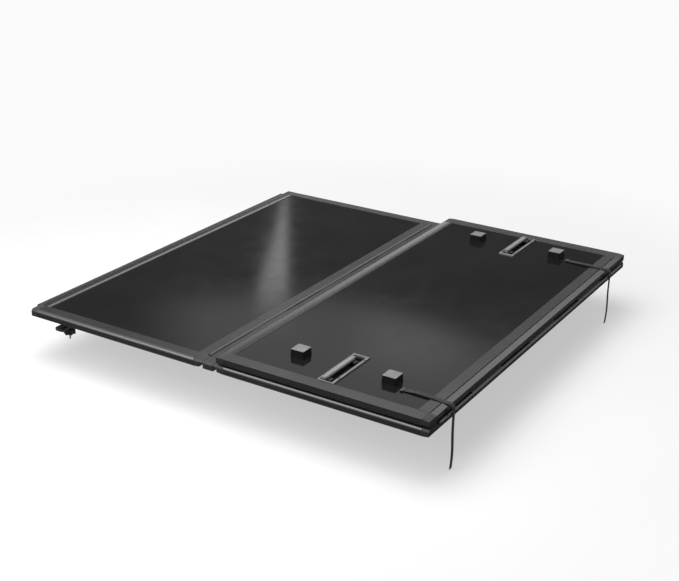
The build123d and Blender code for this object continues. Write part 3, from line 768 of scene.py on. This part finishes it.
def rail_outline(grow):
    """Outline of a casting from the outer side, (inward, up) pairs, grown all round."""
    width, height, r = RAIL_TOP, PANEL_T, SHOULDER_R
    points = [(width + grow, -grow), (width + grow, height + grow)]
    for step in range(9):
        angle = math.radians(90 + 90 * step / 8)
        points.append((r + (r + grow) * math.cos(angle), height - r + (r + grow) * math.sin(angle)))
    points.append((-grow, -grow))
    return points


def joint_seals(body):
    """Thin gaskets between the corner castings and the side rails of one panel."""
    y_low, y_high, z_low, flipped = panel_span(body)
    bm = bmesh.new()
    outer, inner = rail_outline(SEAL_PROUD), rail_outline(-0.6 * MM)
    for y in (y_low + CASTING, y_high - CASTING):
        for side in (-1, 1):
            rings = []
            for (u, v), (a, b) in zip(outer, inner):
                ring = []
                for (across, up), shift in (((u, v), 0.5), ((u, v), -0.5), ((a, b), -0.5), ((a, b), 0.5)):
                    z = z_low + PANEL_T - up if flipped else z_low + up
                    ring.append(Vector((side * (CAD_HALF_WIDTH - across), y + shift * SEAL_W, z)))
                rings.append(ring)
            closed_tube(bm, rings)
    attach(new_piece(f"{body}_joint_seals", bm, "black_rubber", smooth=False), f"{body}_panel")


# ---- fasteners -----------------------------------------------------------------------------------------
def domed_head(bm, centre, facing, radius, height, socket):
    """A button head with a hexagon socket; centre is the middle of its seat."""
    count = 24
    rise = Vector((0, 0, facing))

    def ring(r, up, hexagon=False):
        points = []
        for i in range(count):
            angle = 2 * math.pi * i / count
            reach = r
            if hexagon:
                reach = r * math.cos(math.pi / 6) / math.cos(angle % (math.pi / 3) - math.pi / 6)
            points.append(centre + Vector((math.cos(angle), math.sin(angle), 0)) * reach + rise * up)
        return points

    rings = [ring(radius * 0.96, 0.0), ring(radius, height * 0.12)]
    for step in range(1, 6):
        t = step / 5
        r = radius + (socket * 1.25 - radius) * t
        rings.append(ring(r, height * (0.12 + 0.88 * math.sin(math.pi / 2 * t))))
    rings.append(ring(socket * 1.08, height * 0.97, True))
    rings.append(ring(socket, height * 0.86, True))
    rings.append(ring(socket, height * 0.12, True))
    skin_rings(bm, rings)


def tray_screw_heads():
    """Button heads in the rims of the two latch trays."""
    bm = bmesh.new()
    for side in ("left", "right"):
        low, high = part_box(f"{side}_latch_tray")
        rim_top = low_rim_height()
        middle = (low.y + high.y) / 2
        ends = (low.x + 40 * MM, high.x - 30 * MM)
        if side == "right":
            ends = (high.x - 40 * MM, low.x + 30 * MM)
        for x in ends:
            for y in (middle - 28 * MM, middle + 28 * MM):
                domed_head(bm, Vector((x, y, rim_top)), 1, 3.6 * MM, 1.6 * MM, 1.35 * MM)
    piece = new_piece("tray_screw_heads", bm, "zinc_steel", "clamp_metal")
    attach(piece, "rear_panel")
    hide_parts("tray_screws")


def low_rim_height():
    """Top of the latch trays' rims, which the screws' seats lie on."""
    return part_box("tray_screws")[1].z - 1.6 * MM


def clamp_screw_heads():
    """Button heads under the feet of the two front clamps."""
    bm = bmesh.new()
    for side in ("left", "right"):
        low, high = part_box(f"{side}_clamp_stud")
        stud = (low + high) / 2
        sign = -1 if side == "left" else 1
        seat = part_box("clamp_screws")[0].z + 3.5 * MM
        for across in (34 * MM, -24 * MM):
            for along in (-20 * MM, 20 * MM):
                centre = Vector((stud.x + sign * across, stud.y + along, seat))
                domed_head(bm, centre, -1, 5.0 * MM, 3.4 * MM, 2.3 * MM)
    piece = new_piece("clamp_screw_heads", bm, "zinc_steel")
    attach(piece, "front_panel")
    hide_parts("clamp_screws")


def threaded_stud(side):
    """Two-start threaded rod with its hexagon nut under the clamp's foot."""
    low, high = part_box(f"{side}_clamp_stud")
    middle = (low + high) / 2
    sides = 24
    length = high.z - low.z
    rows = int(length / THREAD_ROW)
    rings = []
    for i in range(rows + 1):
        z = i / rows * length
        ends = min(1.0, z / (1.5 * MM), (length - z) / (1.5 * MM))
        ring = []
        for k in range(sides):
            turn = k / sides
            phase = (z / THREAD_LEAD - turn) * THREAD_STARTS % 1.0
            groove = 1 - abs(2 * phase - 1)
            radius = STUD_R - THREAD_DEPTH * max(0.0, 1.35 * groove - 0.35) - 0.6 * MM * (1 - ends)
            angle = 2 * math.pi * turn
            x = middle.x + radius * math.cos(angle)
            y = middle.y + radius * math.sin(angle)
            ring.append(Vector((x, y, low.z + z)))
        rings.append(ring)
    bm = bmesh.new()
    skin_rings(bm, rings)
    nut(bm, Vector((middle.x, middle.y, -13 * MM - NUT_H)))
    piece = new_piece(f"{side}_threaded_stud", bm, "zinc_steel")
    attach(piece, "front_panel")
    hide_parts(f"{side}_clamp_stud")


def nut(bm, base):
    """Hexagon nut with turned chamfers, its underside at base."""
    count = 24

    def ring(reach, up):
        points = []
        for i in range(count):
            angle = 2 * math.pi * i / count
            flat = NUT_R * math.cos(math.pi / 6) / math.cos(angle % (math.pi / 3) - math.pi / 6)
            points.append(base + Vector((math.cos(angle), math.sin(angle), 0)) * min(flat, reach)
                          + Vector((0, 0, up)))
        return points

    chamfer = NUT_R * math.cos(math.pi / 6)
    rings = [ring(chamfer - 0.3 * MM, 0.0), ring(chamfer, 0.15 * MM), ring(NUT_R, 0.8 * MM)]
    rings.append(ring(NUT_R, NUT_H - 0.8 * MM))
    rings.append(ring(chamfer, NUT_H - 0.15 * MM))
    rings.append(ring(chamfer - 0.3 * MM, NUT_H))
    skin_rings(bm, rings)


def strap_fixings():
    """Pressed plates with a rolled border, and the button heads that hold them."""
    low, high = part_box("strap_anchors")
    bm = bmesh.new()
    for side in ("left", "right"):
        run_low, run_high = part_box(f"{side}_strap_run")
        x = (run_low.x + run_high.x) / 2
        y = (low.y + high.y) / 2
        plate = [(1.0, 0.0), (1.0, 1.0), (0.93, 1.5), (0.84, 1.3), (0.78, 1.0)]
        rings = []
        for reach, up in plate:
            ring = []
            half = 6 * MM * reach
            for point, out in rounded_loop(2 * half, -half, half, 0.4 * half):
                ring.append(Vector((x + point.x, y + point.y, low.z + up * MM)))
            rings.append(ring)
        skin_rings(bm, rings)
        domed_head(bm, Vector((x, y, low.z + 0.9 * MM)), 1, 4.5 * MM, high.z - low.z - 0.9 * MM, 1.8 * MM)
    piece = new_piece("strap_fixings", bm, "clamp_metal")
    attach(piece, "rear_panel")
    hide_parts("strap_anchors")


# ---- stage -------------------------------------------------------------------------------------
def make_floor():
    low = CAD_BOX[0].z - FLOOR_DROP
    bm = bmesh.new()
    bmesh.ops.create_grid(bm, x_segments=8, y_segments=8, size=FLOOR_SIZE / 2)
    piece = new_piece("floor", bm, "floor", smooth=False)
    piece.location = (0, 0, low)


def soft_patch(g, azimuth, elevation, centre, half_width, low, high, soft):
    """1 inside a patch of sky and 0 outside it, all in degrees, with soft borders."""
    offset = g.math("ABSOLUTE", g.math("SUBTRACT", azimuth, centre))
    inside = g.math("SUBTRACT", half_width, offset)
    sideways = g.ramp(inside, -soft, soft)
    above = g.ramp(elevation, low - soft, low + soft)
    below = g.ramp(elevation, high + soft, high - soft)
    return g.math("MULTIPLY", sideways, g.math("MULTIPLY", above, below))


def make_world():
    """White to the camera; mirrored surfaces see a dark room with a pale horizon and soft windows."""
    world = bpy.data.worlds.new("studio")
    bpy.context.scene.world = world
    world.use_nodes = True
    tree = world.node_tree
    tree.nodes.clear()
    g = Graph(tree)
    direction = g.add("TexCoord").outputs["Generated"]
    parts = g.add("SeparateXYZ", {0: direction}).outputs
    azimuth = g.math("DEGREES", g.math("ARCTAN2", parts["X"], parts["Y"]))
    elevation = g.math("DEGREES", g.math("ARCSINE", parts["Z"]))
    room = g.ramp(elevation, 14.3, 16.4, 1.30, 0.085)
    room = g.math("MULTIPLY", room, g.ramp(elevation, -3.0, 1.0))
    room = g.math("ADD", room, g.ramp(elevation, 28.5, 34.0, 0.0, 1.0))
    room = g.math("ADD", room, g.ramp(elevation, -6.0, -30.0, 0.0, UNDER_GLOW))
    patches = (
        (-20.0, 16.0, 22.0, 40.0, 5.0, 0.40),
        (150.0, 20.0, 20.0, 42.0, 6.0, 0.45),
        (-115.0, 24.0, 24.0, 44.0, 6.0, 0.50),
        (76.5, 4.5, 24.0, 33.0, 2.0, 0.85),
    )
    for centre, half_width, low, high, soft, power in patches:
        patch = soft_patch(g, azimuth, elevation, centre, half_width, low, high, soft)
        room = g.math("ADD", room, g.math("MULTIPLY", patch, power))
    # the window mirrored in the middle of the cover: its sill rises to the right
    sill = g.ramp(azimuth, 56.0, 70.0, 22.9, 25.2)
    over = g.ramp(g.math("SUBTRACT", elevation, sill), -0.3, 0.5)
    beside = g.math("MULTIPLY", g.ramp(azimuth, 47.0, 52.5), g.ramp(azimuth, 74.0, 68.0))
    window = g.math("MULTIPLY", over, g.math("MULTIPLY", beside, g.ramp(elevation, 36.0, 31.0)))
    room = g.math("ADD", room, g.math("MULTIPLY", window, 0.38))
    bright = soft_patch(g, azimuth, elevation, 62.0, 2.4, 24.0, 26.0, 1.6)
    room = g.math("ADD", room, g.math("MULTIPLY", g.math("MULTIPLY", bright, over), 0.28))
    # a wedge of light with an upright right-hand border, widening upwards to the left
    left = g.ramp(elevation, 18.0, 24.5, 55.5, 53.9)
    inside = g.math("MULTIPLY", g.ramp(g.math("SUBTRACT", azimuth, left), -0.2, 0.2),
                    g.ramp(azimuth, 55.9, 55.5))
    upright = g.math("MULTIPLY", g.ramp(elevation, 17.0, 18.5), g.ramp(elevation, 24.0, 22.2))
    wedge = g.math("MULTIPLY", inside, upright)
    room = g.math("ADD", room, g.math("MULTIPLY", wedge, 1.25))
    path = g.add("LightPath").outputs
    mirrored = g.add("Background", {"Color": g.add("CombineXYZ", {0: room, 1: room, 2: room}).outputs[0]})
    plain = g.add("Background", {"Color": (1, 1, 1, 1), "Strength": 0.26})
    backdrop = g.add("Background", {"Color": (1, 1, 1, 1), "Strength": BACKDROP})
    lit = g.add("MixShader", {0: path["Is Glossy Ray"], 1: plain.outputs[0], 2: mirrored.outputs[0]})
    seen = g.add("MixShader", {0: path["Is Camera Ray"], 1: lit.outputs[0], 2: backdrop.outputs[0]})
    g.add("OutputWorld", {"Surface": seen.outputs[0]})


def area_light(name, place, aim, size, power, mirrored=True):
    """A soft lamp; with mirrored off, glossy faces don't show its image."""
    lamp = bpy.data.lights.new(name, "AREA")
    lamp.shape = "RECTANGLE"
    lamp.size, lamp.size_y = size
    lamp.energy = power
    holder = bpy.data.objects.new(name, lamp)
    holder.location = place
    holder.rotation_mode = "QUATERNION"
    holder.rotation_quaternion = (Vector(aim) - Vector(place)).to_track_quat("-Z", "Y")
    holder.visible_glossy = mirrored
    bpy.context.scene.collection.objects.link(holder)


def make_lights():
    area_light("overhead", (-0.6, -0.4, 3.6), (0.0, -0.85, 0.0), (3.4, 3.4), 215.0, mirrored=False)
    area_light("side", (-3.4, 0.6, 2.6), (-0.8, -0.85, 0.0), (3.8, 2.8), 105.0)


def make_camera():
    lens = bpy.data.cameras.new("camera")
    lens.lens = CAMERA_LENS
    holder = bpy.data.objects.new("camera", lens)
    aim = (CAMERA_AIM - CAMERA_AT).to_track_quat("-Z", "Y")
    holder.rotation_mode = "QUATERNION"
    holder.rotation_quaternion = aim @ Quaternion((0, 0, 1), CAMERA_ROLL)
    holder.location = CAMERA_AT
    bpy.context.scene.collection.objects.link(holder)
    bpy.context.scene.camera = holder


# ---- build -------------------------------------------------------------------------------------
make_materials()
dress_nodes()
for side in ("left", "right"):
    strap(side)
    strap_stitches(side)
    threaded_stud(side)
for body in ("front", "middle", "rear"):
    panel_beads(body)
    joint_seals(body)
groove_strips()
tray_screw_heads()
clamp_screw_heads()
strap_fixings()
make_floor()
make_world()
make_lights()
make_camera()
bpy.context.scene.view_settings.view_transform = "Standard"
